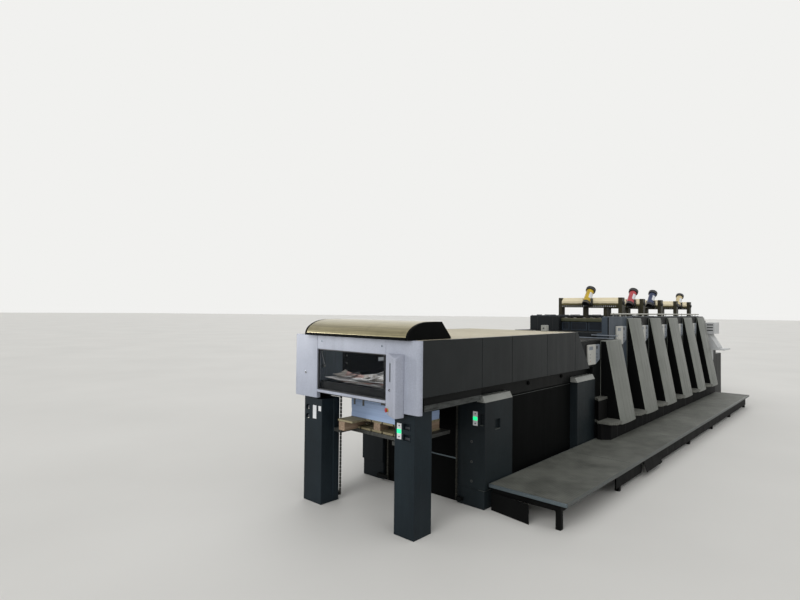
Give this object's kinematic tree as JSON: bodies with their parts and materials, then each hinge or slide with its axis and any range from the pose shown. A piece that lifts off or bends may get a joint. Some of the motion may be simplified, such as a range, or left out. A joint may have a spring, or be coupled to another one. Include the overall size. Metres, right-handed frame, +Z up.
{
  "type": "offset printing press",
  "caption": "Sheet-fed offset printing press with inclined covers, coating unit, long delivery with pile and hood, feeder, ink cartridges, steps and footboards.",
  "frame": {"origin": "centre of the bounding box at floor level", "axes": "+X along the press from delivery to feeder, -Y to the operator side, +Z up"},
  "size_m": [11.592, 3.25, 2.4103],
  "materials": {
    "leg_paint": "satin",
    "pillar_paint": "satin",
    "cap_paint": "satin",
    "frame_paint": "satin",
    "side_panel_paint": "satin",
    "deck_paint": "satin",
    "hood_metal": "brushed",
    "black_plastic": "matte",
    "front_paint": "satin",
    "window_glass": "clear, tinted",
    "chain_steel": "oiled",
    "platform_steel": "worn",
    "pallet_wood": "rough",
    "sheet_paper": "matte",
    "cover_paint": "satin",
    "display_paint": "satin",
    "box_paint": "satin",
    "tread_metal": "ribbed, worn",
    "rail_steel": "satin",
    "fountain_paint": "satin",
    "guard_paint": "satin",
    "yellow_plastic": "gloss",
    "magenta_plastic": "gloss",
    "blue_plastic": "gloss",
    "beige_plastic": "gloss"
  },
  "bodies": {
    "press": {"front_leg_operator": "leg_paint", "front_leg_drive": "leg_paint", "pillars_operator": "pillar_paint", "pillars_drive": "pillar_paint", "pillar_caps": "cap_paint", "under_panels": "frame_paint", "delivery_base": "frame_paint", "delivery_side_frames": "frame_paint", "side_panel_operator": "side_panel_paint", "side_panel_drive": "side_panel_paint", "delivery_housing": "frame_paint", "delivery_deck": "deck_paint", "hood": "hood_metal", "hood_trim": "black_plastic", "front_cover_operator": "front_paint", "front_cover_drive": "front_paint", "front_top_strip": "front_paint", "window_sill": "front_paint", "delivery_window": "window_glass", "control_console": "front_paint", "hoist_chains": "chain_steel", "coating_unit": "frame_paint", "printing_unit_1": "frame_paint", "printing_unit_2": "frame_paint", "printing_unit_3": "frame_paint", "printing_unit_4": "frame_paint", "printing_unit_5": "frame_paint", "covers_operator": "cover_paint", "covers_drive": "cover_paint", "unit_displays": "display_paint", "toe_boxes": "box_paint", "step_pads": "tread_metal", "conduit_rail": "rail_steel", "ink_fountain_1": "fountain_paint", "ink_fountain_2": "fountain_paint", "ink_fountain_3": "fountain_paint", "ink_fountain_4": "fountain_paint", "ink_fountain_5": "fountain_paint", "fountain_guards": "guard_paint", "feeder_side_frames": "box_paint", "feeder_head": "chain_steel", "feed_board": "rail_steel", "feeder_pile_board": "platform_steel", "feeder_console": "display_paint", "footboard_operator": "tread_metal", "footboard_drive": "tread_metal", "board_frames": "box_paint", "board_skirts": "box_paint", "loose_skirts": "box_paint", "side_guards": "box_paint"},
    "pile": {"pile_platform": "platform_steel", "pile_pallet": "pallet_wood", "paper_stack": "sheet_paper"},
    "cartridge_1": {"ink_cartridge_1": "yellow_plastic"},
    "cartridge_2": {"ink_cartridge_2": "magenta_plastic"},
    "cartridge_3": {"ink_cartridge_3": "blue_plastic"},
    "cartridge_5": {"ink_cartridge_5": "beige_plastic"}
  },
  "joints": [
    {"name": "pile_hoist", "type": "slide", "parent": "press", "child": "pile", "axis": [0, 0, 1], "range_m": [-0.68, 0]},
    {"name": "cartridge_1_slide", "type": "slide", "parent": "press", "child": "cartridge_1", "axis": [0, 1, 0], "range_m": [-0.405, 0.405]},
    {"name": "cartridge_2_slide", "type": "slide", "parent": "press", "child": "cartridge_2", "axis": [0, 1, 0], "range_m": [-0.045, 0.765]},
    {"name": "cartridge_3_slide", "type": "slide", "parent": "press", "child": "cartridge_3", "axis": [0, 1, 0], "range_m": [-0.025, 0.785]},
    {"name": "cartridge_5_slide", "type": "slide", "parent": "press", "child": "cartridge_5", "axis": [0, 1, 0], "range_m": [-0.075, 0.735]}
  ]
}
